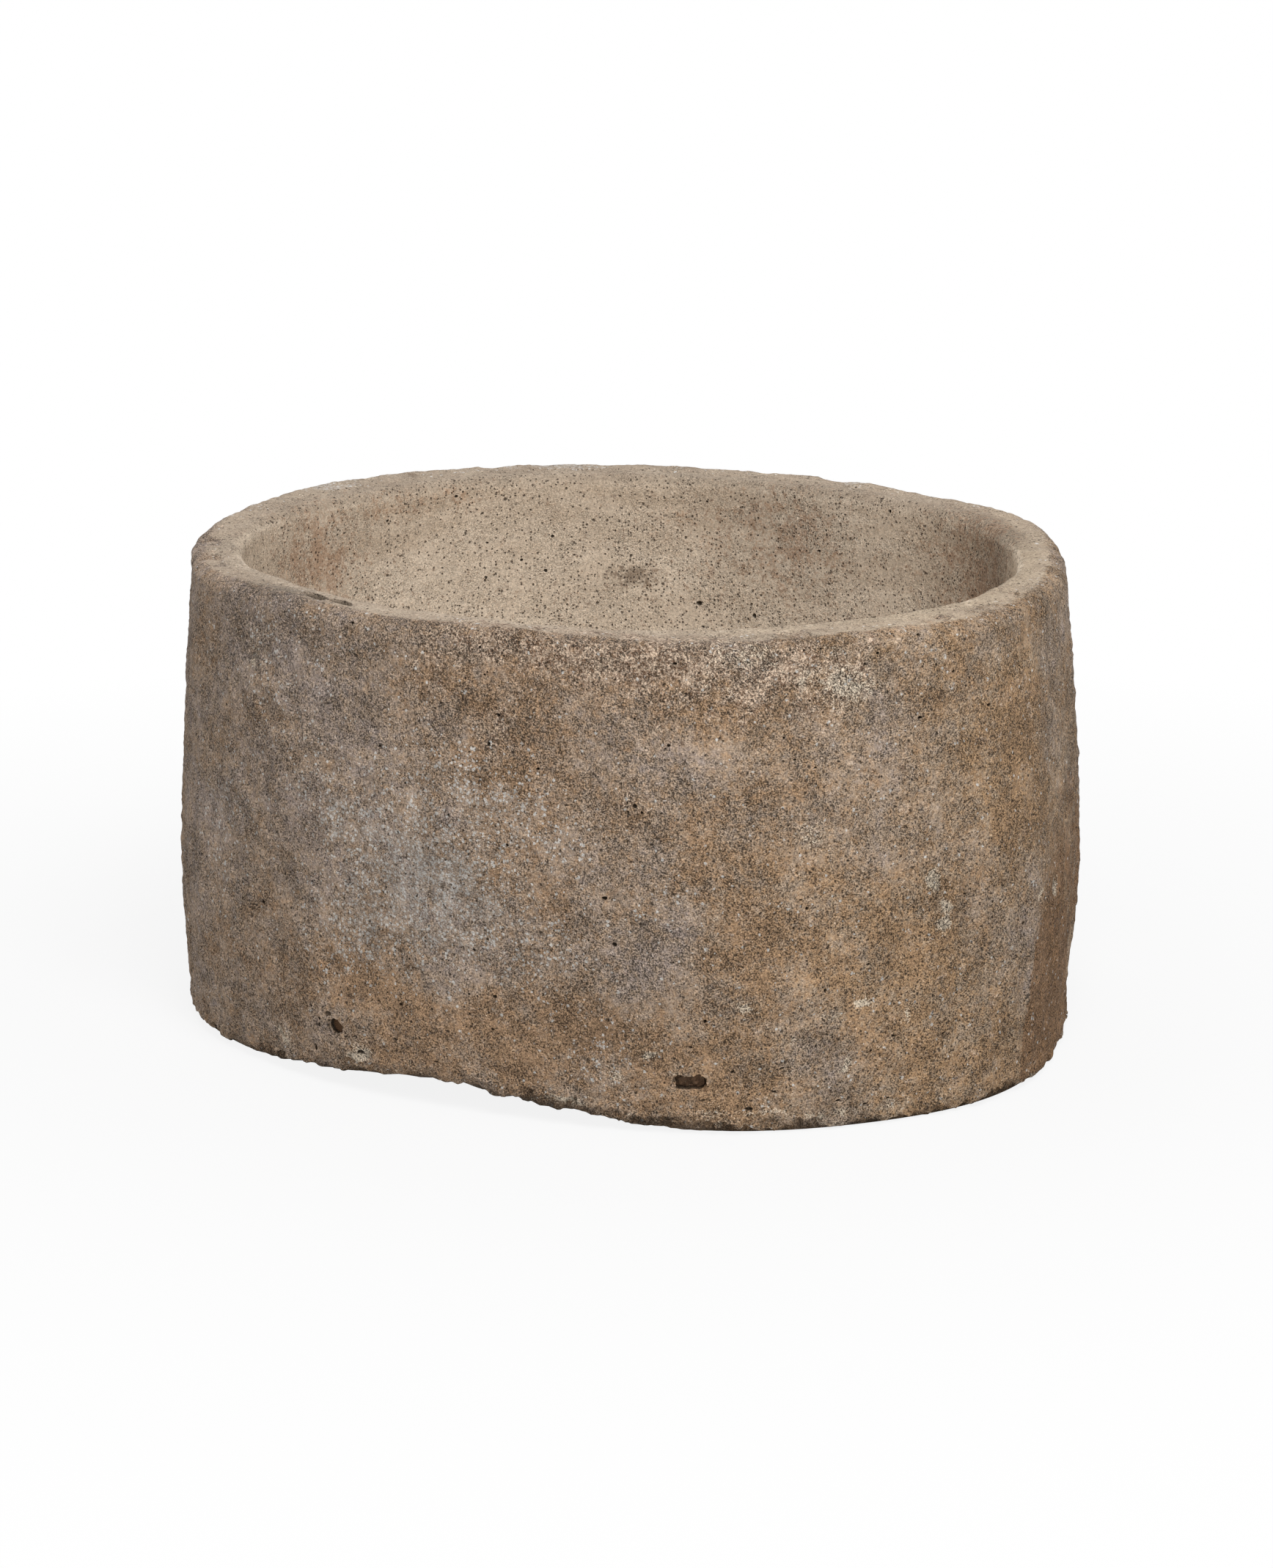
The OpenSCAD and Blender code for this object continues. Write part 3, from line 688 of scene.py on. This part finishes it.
def pit_mask(q, openings):
    """1 on the points that lie in a pit or inside a drain, and a little less in the rim's worn hollows, where
    dirt and painted shade darken the stone.
    """
    mask = np.zeros(len(q))
    order = np.argsort(q[:, 2])
    heights = q[order, 2]
    for point, normal, sizes in openings:
        reach = 1.3 * max(sizes)
        first, last = np.searchsorted(heights, (point[2] - reach, point[2] + reach))
        near = order[first:last]
        away = (q[near] - point) @ pit_axes(normal).T / (sizes[0] / 2, sizes[1] / 2, sizes[2])
        mask[near[(norm(away, axis=1) < 1.35) & (away[:, 2] < -0.15)]] = 1
    for azimuth, z, half_w, half_h in ((BORE_AZIMUTH, BORE_HEIGHT, BORE_D / 2, BORE_D / 2),
                                       (SLOT_AZIMUTH, SLOT_HEIGHT, SLOT_W / 2, SLOT_H / 2)):
        local = placed(q, inv(into_wall(azimuth, z)))
        across, up, deep = np.abs(local[:, 0]), np.abs(local[:, 1]), local[:, 2]
        mask[(across < half_w + DIRT_AND_SHADE_SPREAD) & (up < half_h + DIRT_AND_SHADE_SPREAD)
             & (deep > DIRT_AND_SHADE_START) & (deep < DIRT_AND_SHADE_END)] = 1
    for azimuth in WORN_AZIMUTHS:
        t = radians(azimuth)
        out = float(rim_r(azimuth)) - WORN_INSET
        away = q - (out * cos(t), out * sin(t), float(rim_z(azimuth))) + MIDDLE
        along, across = away @ (-sin(t), cos(t), 0), away @ (cos(t), sin(t), 0)
        span = np.hypot(along / (WORN_LENGTH / 2), across / (WORN_WIDTH / 2))
        mask = np.maximum(mask, 0.85 * (1 - ramp(span, 0.8, 1.08)) * (np.abs(away[:, 2]) < 20))
    return mask


def paint_masks(body, openings):
    """Where each kind of stain and wear lies, as attributes that the stone's material reads."""
    mesh = body.data
    co = np.empty(len(mesh.vertices) * 3)
    mesh.vertices.foreach_get("co", co)
    q = co.reshape(-1, 3) / MM
    p = q + MIDDLE
    z = p[:, 2]
    r = np.hypot(p[:, 0], p[:, 1])
    a = np.degrees(np.arctan2(p[:, 1], p[:, 0])) % 360

    def at(marks):
        return spread(a, z, r, marks)

    middle = (rim_r(a) + hollow_rim_r(a)) / 2
    inside = ramp(middle - r, -4, 14) * (z > FLOOR - 12)
    outside = 1 - inside
    below_rim = np.maximum(rim_z(a) - z, 0)
    reach = 1.6 + 9 * ramp(apart(a, 310), 85, 120)
    rim = 1 - ramp(below_rim + 2.2 * layers(p, 12, 2, 87), 0.4 * reach, 1.2 * reach + 1)
    past_flat = r - rim_r(a) + RIM_OUT + 4 * layers(p, 14, 2, 89)
    rim *= 1 - ramp(past_flat, 0, 3.8 * reach)
    broad, mid, small = layers(p, 190, 2, 71), layers(p, 70, 3, 75), layers(p, 26, 3, 81)
    back = ramp(apart(a, 135), 90, 60)
    warm = 0.16 * np.cos(np.radians(a - 345)) + (0.4 * broad + 0.35 * mid) * (1 + 0.6 * back)
    warm += 0.15 * ramp(z, 220, 60) + at(WARM) - at(GREY)
    band = fade(below_rim - 30, 18) * unit(0.5 + 1.6 * mid) * back
    crust = outside * (at(CRUST) * (0.9 + 0.7 * small) + band * 0.9
                       + 0.4 * unit(mid + small - 0.3))
    fresh = flake_scars(a, z, r, 2.6 * layers(p, 14, 2, 35))[1]
    cream = outside * (at(CREAM) * (0.9 + 0.6 * small) + fresh
                       + 1.2 * back * unit(small * 1.5 - 0.55))
    lime = outside * (at(LIME) * (0.8 + 0.5 * mid) + 0.04
                      + 1.1 * back * unit(broad + mid - 0.12))
    pores = (outside * (at(PORES) + 0.2 + 0.3 * unit(mid))
             + inside * (0.5 + 0.35 * mid + 0.3 * ramp(z, 480, 330) + 0.8 * at(INNER_DARK)))
    stain = (inside * (at(INNER_DARK) * (0.8 + 0.6 * small) + 0.12 * unit(broad))
             + outside * (at(DARK) + 0.15 * unit(mid + 0.5 * small - 0.25)))
    rust = inside * (at(INNER_RUST) * (0.9 + 0.6 * small) + 0.2 * unit(mid - 0.2))
    above = np.maximum(z - lift(a), 0)
    broken = fracture_height(a, p * (1, 1, 0)) - above
    cream += outside * 0.7 * fade(broken + 3.5, 3) * (above > 4) * unit(0.5 + 1.5 * small)
    # Painted shade: the foot darkened along the ground line and under the split-off edge of the broken foot
    foot = np.maximum(0.7 * fade(above, 5), ramp(broken, -0.6, 1.4))
    foot *= outside * (1 - 0.8 * unit(cream))
    soft = ramp(z, 150, 270)
    past = turned(a, crease(z)) + 0.35 * layers(p, 9, 2, 96)
    stray = ramp(past, 4, 14)
    brown = outside * ramp(past, -0.4 - 5 * soft, 0.8 + 12 * soft) * ramp(z + 90 * stray * mid, 420, 180)
    brown *= 1 - ramp(past + 22 * stray * (broad + mid), 12, 50)
    # Tones: the stone's own lighter and darker areas, with the painted light and shade of the marks
    tones_and_painted_light = outside * (at(TONES_AND_PAINTED_LIGHT) - 0.04 * broad - 0.05 * mid + 0.04 * small)
    tones_and_painted_light += inside * (at(INNER_TONES_AND_PAINTED_SHADE) + 0.04 * mid - 0.02)
    golden = outside * unit(1.2 * warm + 0.4) * (1 - rim) + 0.4 * rim + 0.3 * inside
    golden *= ramp(apart(a, 15), 70, 20)
    # deep: painted light, the hollow lighter towards its floor
    masks = dict(inside=inside, rim=rim, warm=warm, crust=crust, cream=cream, lime=lime, pores=pores,
                 stain=stain, rust=rust, foot=foot, deep=inside * ramp(z, 525, 400), brown=brown,
                 tones_and_painted_light=tones_and_painted_light, golden=golden, pit=pit_mask(q, openings))
    for name, values in masks.items():
        layer = mesh.attributes.new(name, "FLOAT", "POINT")
        layer.data.foreach_set("value", values.astype(np.float32))


def srgb(r, g, b):
    """A colour given as it shows on screen, 0 to 255."""
    return (*(c / 255 / 12.92 if c <= 10 else ((c / 255 + 0.055) / 1.055) ** 2.4 for c in (r, g, b)), 1)


class Nodes:
    """Short ways to write a material's nodes."""

    def __init__(self, name):
        self.material = bpy.data.materials.new(name)
        self.material.use_nodes = True
        self.tree = self.material.node_tree
        self.tree.nodes.clear()
        self.coords = self.add("TexCoord").outputs["Object"]

    def add(self, kind, inputs=(), **settings):
        """A new node, with values or links for its inputs."""
        node = self.tree.nodes.new("ShaderNode" + kind)
        for key, value in settings.items():
            setattr(node, key, value)
        for key, value in dict(inputs).items():
            if isinstance(value, bpy.types.NodeSocket):
                self.tree.links.new(value, node.inputs[key])
            else:
                node.inputs[key].default_value = value
        return node

    def math(self, operation, a, b=0.0, clamp=False):
        return self.add("Math", {0: a, 1: b}, operation=operation, use_clamp=clamp).outputs[0]

    def plus(self, a, b):
        return self.math("ADD", a, b)

    def times(self, a, b):
        return self.math("MULTIPLY", a, b)

    def mask(self, name):
        return self.add("Attribute", attribute_name=name).outputs["Fac"]

    def mottled(self, name, *pairs):
        """A mask broken up by noise."""
        return self.plus(self.mask(name), self.centred(*pairs))

    def vector(self, operation, a, b):
        return self.add("VectorMath", {0: a, 1: b}, operation=operation).outputs[0]

    def shifted(self, seed):
        return self.vector("ADD", self.coords, (1.7 * seed, 2.3 * seed, 0.9 * seed))

    def noise(self, scale, detail=2.0, roughness=0.6, seed=0, coords=None):
        return self.add("TexNoise", {"Vector": coords or self.shifted(seed), "Scale": scale,
                                     "Detail": detail, "Roughness": roughness}).outputs["Fac"]

    def centred(self, *pairs):
        """Sum of weight times value, each value taken from its middle, 0.5."""
        total = 0.0
        for value, weight in pairs:
            inputs = {0: value, 1: weight, 2: -0.5 * weight}
            total = self.plus(self.add("Math", inputs, operation="MULTIPLY_ADD").outputs[0], total)
        return total

    def ragged(self, scale, reach, seed):
        """Coordinates that wander by about reach metres, so that spots aren't round."""
        node = self.add("TexNoise", {"Vector": self.shifted(seed), "Scale": scale, "Detail": 1.0})
        drift = self.vector("MULTIPLY", node.outputs["Color"], (2 * reach,) * 3)
        return self.vector("ADD", drift, self.shifted(seed))

    def ragged_cells(self, wander, scale):
        """Ragged cells: the distance from their middles, and three random numbers for each."""
        node = self.add("TexVoronoi", {"Vector": self.ragged(*wander), "Scale": scale})
        return node.outputs["Distance"], self.add("SeparateColor", {0: node.outputs["Color"]}).outputs

    def spots(self, wander, scale, chance, smallest, largest):
        """Ragged spots of a random size in a share of the cells."""
        distance, draws = self.ragged_cells(wander, scale)
        size = self.range(draws[1], 0, 1, smallest, largest)
        spot = self.range(distance, size, self.times(size, 0.55))
        return self.times(self.math("LESS_THAN", draws[0], chance), spot)

    def range(self, value, low, high, to_low=0.0, to_high=1.0):
        return self.add("MapRange", {"Value": value, "From Min": low, "From Max": high,
                                     "To Min": to_low, "To Max": to_high}).outputs[0]

    def mix(self, share, a, b, blend="MIX"):
        inputs = {"Factor": share, "A": a, "B": b}
        return self.add("Mix", inputs, data_type="RGBA", blend_type=blend).outputs["Result"]

    def tinted(self, colour, value, low, high, tint, most=1.0):
        """The colour turned towards a tint as the value goes from low to high."""
        return self.mix(self.range(value, low, high, 0.0, most), colour, srgb(*tint))

    def shade(self, colour, value):
        """Multiplies a colour by a value round 1."""
        grey = self.add("CombineColor", {0: value, 1: value, 2: value}).outputs[0]
        return self.mix(1.0, colour, grey, "MULTIPLY")

    def finish(self, colour, roughness, height):
        """The material with its relief, whose height is in millimetres."""
        bump = self.add("Bump", {"Height": height, "Distance": MM, "Strength": 1.0})
        shader = self.add("BsdfPrincipled", {
            "Base Color": colour, "Roughness": roughness, "Specular IOR Level": 0.25,
            "Normal": bump.outputs[0]})
        self.add("OutputMaterial", {"Surface": shader.outputs[0]})
        return self.material


def stone_hues(n):
    """Clouds of grey-lilac, tan and brown, the hollow painted lighter (paler stone, and painted light that
    grows towards its floor), the worn rim, then stains and crusts.
    """
    blotch = n.mottled("warm", (n.cloud, 1.6), (n.noise(78, 3, seed=6), 1.9), (n.noise(200, 2, seed=7), 1.9))
    colour = n.tinted(srgb(155, 140, 130), blotch, -0.75, 0.0, (161, 141, 122))
    colour = n.tinted(colour, blotch, 0.0, 0.75, (158, 129, 101))
    level = n.vector("MULTIPLY", n.coords, (1, 1, 4))
    tone = n.centred((n.noise(6, 4, coords=level), 1.2), (n.patch, 0.25))
    # painted light: the hollow lighter towards its floor
    tone = n.plus(tone, n.times(n.mask("deep"), 0.3))
    # the hollow paler than the wall: paler stone, and painted light where the hollow gets less lamp light
    inner = n.tinted(srgb(184, 166, 145), tone, -0.25, 0.4, (208, 193, 174))
    colour = n.mix(n.inside, colour, inner)
    pale = n.centred((n.cloud, 1), (n.clots, 0.8))
    colour = n.mix(n.rim, colour, n.tinted(srgb(155, 138, 120), pale, -0.25, 0.25, (177, 161, 142)))
    colour = n.mix(n.mask("golden"), colour, (1.0, 0.99, 0.93, 1.0), "MULTIPLY")
    rust = n.mottled("rust", (n.clots, 1.6), (n.grain, 1.6))
    colour = n.tinted(colour, rust, 0.25, 0.75, (154, 116, 86), 0.6)
    dirt = n.mottled("stain", (n.clots, 1.9), (n.grain, 2.2), (n.patch, 1.0))
    colour = n.tinted(colour, dirt, 0.35, 0.85, (100, 80, 62), 0.6)
    brown = n.mottled("brown", (n.clots, 0.8), (n.patch, 0.8))
    colour = n.tinted(colour, brown, 0.3, 0.8, (132, 102, 74), 0.9)
    # crust: dark brown grains packed between pale ones
    crust = n.mottled("crust", (n.patch, 1.4), (n.clots, 1.6), (n.grain, 1.0))
    packed = n.centred((n.noise(330, 3, 0.7, seed=8), 1.2), (n.noise(90, 2, seed=25), 0.5))
    packed = n.tinted(srgb(96, 73, 56), packed, -0.12, 0.12, (202, 180, 158))
    colour = n.mix(n.range(crust, 0.25, 0.75, 0, 0.85), colour, packed)
    chalk = n.mottled("cream", (n.noise(170, 3, 0.7, seed=9), 2.4), (n.grit, 2.2))
    return n.tinted(colour, chalk, 0.5, 0.95, (204, 190, 170), 0.8)


def sandy(n, colour):
    """Sandy grain: crystals of their own brightness and small pale and dark spots, over soft shades."""
    draws = n.ragged_cells((460, 0.4 / 460, 22), 460)[1]
    crystals = n.times(n.centred((draws[2], 0.6)), n.plus(n.times(n.worn_in, 0.35), 0.65))
    share = n.times(n.times(n.rough, n.worn_in), 0.15)
    clean = n.math("SUBTRACT", 1.0, n.times(n.lime, 0.35), clamp=True)
    fine = n.plus(crystals, n.times(n.centred((n.grit, 6.2), (n.grain, 1.6)), n.times(n.rough, clean)))
    pale = n.spots((700, 0.0008, 30), 400, n.plus(share, n.times(n.lime, 0.15)), 0.2, 0.6)
    dark = n.spots((700, 0.0008, 31), 380, n.times(share, n.times(clean, clean)), 0.2, 0.6)
    fine = n.plus(fine, n.math("SUBTRACT", n.times(pale, 0.9), n.times(dark, 0.65)))
    coarse = n.centred((n.clots, 0.5), (n.patch, 0.5), (n.cloud, -0.45))
    coarse = n.times(coarse, n.plus(n.times(n.worn_in, 0.8), 0.2))
    # the tones mask carries painted light and shade as well as the stone's own tone
    light = n.plus(n.plus(n.mask("tones_and_painted_light"), 1.1), n.plus(fine, coarse))
    return n.shade(colour, n.math("MINIMUM", n.math("MAXIMUM", light, 0.3), 2.0))


def seamed(n, colour):
    """Painted shade with dirt in the crevices, where the relief is low, and dark seams, fine cracks painted
    with the same shade, where the stone is rough or stained; also gives the seams.
    """
    hollow = n.times(n.centred((n.grit, 1.6), (n.grain, 2.0), (n.clots, 0.8)), n.rough)
    # crevices: painted self-shadow with dirt, darker where the relief is low
    crevice = n.times(n.range(hollow, -0.5, -0.9), n.worn_in)
    seam = n.math("ABSOLUTE", n.centred((n.noise(230, 2, 0.7, seed=10), 1)))
    gate = n.range(n.plus(n.times(n.mask("stain"), 0.5), n.zone), 0.15, 0.7)
    seam = n.times(n.range(seam, 0.035, 0.0), n.times(gate, n.worn_in))
    return n.mix(n.times(n.math("MAXIMUM", crevice, seam), 0.55), colour, srgb(74, 58, 46)), seam


def limed(n, colour):
    """Lime specks, small and larger, with a haze where they crowd; also gives the specks."""
    crowd = n.times(n.lime, n.range(n.centred((n.patch, 1), (n.clots, 1)), -0.2, 0.2, 0.15, 1.0))
    specks = n.math("MAXIMUM", n.spots((500, 0.0012, 12), 290, crowd, 0.25, 0.8),
                    n.spots((420, 0.003, 13), 170, n.times(crowd, 0.5), 0.18, 0.48))
    colour = n.mix(n.times(specks, 0.9), colour, srgb(222, 218, 212))
    haze = n.plus(n.lime, n.centred((n.patch, 2.0), (n.clots, 2.0), (n.grain, 2.5)))
    return n.tinted(colour, haze, 0.55, 1.2, (186, 178, 170), 0.3), specks


def pierced(n, colour):
    """Pores of two sizes darkened with painted shade, the foot darkened with painted shade, and the pits
    darkened with dirt and painted shade; also gives the pores.
    """
    pores = n.mask("pores")
    holes = n.math("MAXIMUM", n.spots((600, 0.0008, 14), 330, n.times(pores, 0.42), 0.2, 0.58),
                   n.spots((300, 0.0014, 15), 170, n.times(pores, 0.22), 0.12, 0.4))
    # the pores painted dark: painted shade in tiny holes
    colour = n.mix(n.times(holes, 0.85), colour, srgb(56, 45, 36))
    # painted shade along the ground line and under the broken foot's split edge
    foot = n.mottled("foot", (n.clots, 1.5), (n.grain, 1.6))
    colour = n.tinted(colour, foot, 0.4, 0.8, (84, 70, 56), 0.75)
    # pits, drains and the rim's worn hollows: dirt and painted shade
    return n.mix(n.times(n.mask("pit"), 0.8), colour, srgb(60, 51, 40)), holes


def limestone():
    n = Nodes("weathered_limestone")
    n.inside, n.rim, n.lime = n.mask("inside"), n.mask("rim"), n.mask("lime")
    n.grit, n.grain, n.clots = n.noise(580, 2, 0.65, 1), n.noise(270, 2, seed=2), n.noise(115, 3, seed=3)
    n.patch, n.cloud = n.noise(52, 3, seed=4), n.noise(21, 3, seed=5)
    n.worn_in = n.math("SUBTRACT", 1.0, n.math("MAXIMUM", n.inside, n.rim))
    # how rough the stone is from place to place
    n.zone = n.centred((n.noise(18, 3, seed=20), 3.3), (n.noise(60, 2, seed=21), 2.2))
    rough = n.math("MINIMUM", n.math("MAXIMUM", n.plus(n.zone, 1.0), 0.35), 2.2)
    n.rough = n.times(rough, n.plus(n.times(n.worn_in, 0.7), 0.3))
    colour, seam = seamed(n, sandy(n, stone_hues(n)))
    colour, specks = limed(n, colour)
    colour, holes = pierced(n, colour)
    relief = n.times(n.centred((n.grit, 4.4), (n.grain, 4.8), (n.clots, 3.0)), n.rough)
    relief = n.math("SUBTRACT", relief, n.plus(n.times(holes, 1.3), n.times(seam, 0.5)))
    relief = n.plus(relief, n.times(specks, 0.25))
    return n.finish(colour, n.range(n.grain, 0.3, 0.7, 0.97, 0.86), relief)


def mortar():
    n = Nodes("old_lime_mortar")
    tone = n.noise(180, 4, 0.7)
    colour = n.tinted(srgb(54, 42, 32), tone, 0.35, 0.65, (136, 108, 84))
    grit = n.spots((900, 0.0004, 3), 420, 0.3, 0.15, 0.4)
    colour = n.mix(grit, colour, srgb(150, 134, 114))
    colour = n.shade(colour, n.range(n.noise(600, 3, 0.7, seed=3), 0.3, 0.7, 0.75, 1.25))
    relief = n.centred((tone, 1.6), (n.noise(520, 3, 0.7, seed=5), 0.8))
    return n.finish(colour, n.range(tone, 0.3, 0.7, 0.95, 0.85), relief)


def oak_end(matrix):
    """End grain: rings beside the bung's own axis, and fine fibre along it."""
    n = Nodes("water_stained_oak")
    inverse = inv(matrix)
    axes = []
    for row in inverse[:3]:
        dot = n.add("VectorMath", {0: n.coords, 1: tuple(row[:3] / MM)}, operation="DOT_PRODUCT")
        axes.append(n.plus(dot.outputs["Value"], float(row[3])))
    local = n.add("CombineXYZ", dict(enumerate(axes))).outputs[0]
    flat = n.vector("MULTIPLY", n.vector("ADD", local, (4.5, -3.5, 0.0)), (1.0, 1.0, 0.0))
    rings = n.add("TexWave", {"Vector": flat, "Scale": 0.16, "Distortion": 2.2, "Detail": 2.0,
                              "Detail Scale": 1.4}, wave_type="RINGS", rings_direction="SPHERICAL")
    rings = rings.outputs["Fac"]
    fibre = n.noise(1.6, 4, 0.7, coords=n.vector("MULTIPLY", local, (1.0, 1.0, 0.06)))
    colour = n.mix(rings, srgb(74, 53, 37), srgb(126, 94, 66))
    colour = n.shade(colour, n.range(fibre, 0.3, 0.7, 0.7, 1.25))
    relief = n.plus(n.times(rings, 0.35), n.times(fibre, 0.5))
    return n.finish(colour, n.range(fibre, 0.3, 0.7, 0.8, 0.6), relief)


def light_path(n, plain, shown, share):
    """plain for the light that reaches the object, shown for the camera, glossy and transmission rays."""
    path = n.add("LightPath")
    seen = n.math("MAXIMUM", path.outputs["Is Camera Ray"],
                  n.math("MAXIMUM", path.outputs["Is Glossy Ray"], path.outputs["Is Transmission Ray"]))
    return n.add("MixShader", {0: n.times(seen, share), 1: plain, 2: shown}).outputs[0]


def stage():
    n = Nodes("pale_floor")
    plain = n.add("BsdfDiffuse", {"Color": (0.68, 0.68, 0.68, 1)}).outputs[0]
    white = n.add("Emission", {"Color": WHITE, "Strength": 1.0}).outputs[0]
    away = n.add("VectorMath", {0: n.coords}, operation="LENGTH").outputs["Value"]
    shown = n.range(away, 0.7, 1.8, 0.87, 1.0)
    n.add("OutputMaterial", {"Surface": light_path(n, plain, white, shown)})
    corners = [(x * FLOOR_HALF, y * FLOOR_HALF, -MM / 5) for x, y in ((-1, -1), (1, -1), (1, 1), (-1, 1))]
    floor = mesh_object("floor", corners, [(0, 1, 2, 3)], False)
    floor.data.materials.append(n.material)


def world():
    scene_world = bpy.data.worlds.new("studio")
    bpy.context.scene.world = scene_world
    scene_world.use_nodes = True
    n = Nodes.__new__(Nodes)
    n.tree = scene_world.node_tree
    n.tree.nodes.clear()
    fill = n.add("Background", {"Color": (0.99, 0.99, 1.0, 1), "Strength": 0.43}).outputs[0]
    white = n.add("Background", {"Color": WHITE, "Strength": 1.0}).outputs[0]
    n.add("OutputWorld", {"Surface": light_path(n, fill, white, 1.0)})


def lamp(name, azimuth, elevation, distance, size, power):
    data = bpy.data.lights.new(name, "AREA")
    data.energy, data.size = power, size
    obj = add_object(name, data)
    a, e = radians(azimuth), radians(elevation)
    away = Vector((cos(e) * cos(a), cos(e) * sin(a), sin(e)))
    obj.location = LAMP_AIM + away * distance
    obj.rotation_euler = away.to_track_quat("Z", "Y").to_euler()


def camera():
    data = bpy.data.cameras.new("camera")
    data.sensor_fit, data.sensor_width = "AUTO", SENSOR_WIDTH
    data.lens = FOCAL_PIXELS * SENSOR_WIDTH / FRAME_PIXELS
    obj = add_object("camera", data)
    obj.location = CAMERA_PLACE
    obj.rotation_euler = (radians(90 - CAMERA_PITCH), 0, radians(CAMERA_TURN))
    bpy.context.scene.camera = obj


camera()
stage()
world()
lamp("key", 330, 50, 4.0, 1.7, 118)
lamp("back_fill", 150, 35, 4.5, 3.0, 52)

stone, openings = stone_body()
paint_masks(stone, openings)
stone.data.materials.clear()
stone.data.materials.append(limestone())
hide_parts("trough")
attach(stone, "root")

fill = stopper("slot_mortar_fill", slot_section(MORTAR_PLAY), SLOT_AZIMUTH, SLOT_HEIGHT, MORTAR_SETBACK,
               face_rows=14, lump=2.2, slope=0.16, seed=91)
fill.data.materials.append(mortar())
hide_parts("slot_mortar")
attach(fill, "root")

bung = stopper("oak_bung", round_section(BORE_D / 2 - BUNG_PLAY, 72), BORE_AZIMUTH, BORE_HEIGHT, BUNG_SETBACK,
               face_rows=12, lump=0.4, slope=0.0, seed=95)
bung.data.materials.append(oak_end(into_wall(BORE_AZIMUTH, BORE_HEIGHT)))
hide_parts("drain_bung")
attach(bung, "root")

bpy.context.scene.view_settings.view_transform = "Standard"
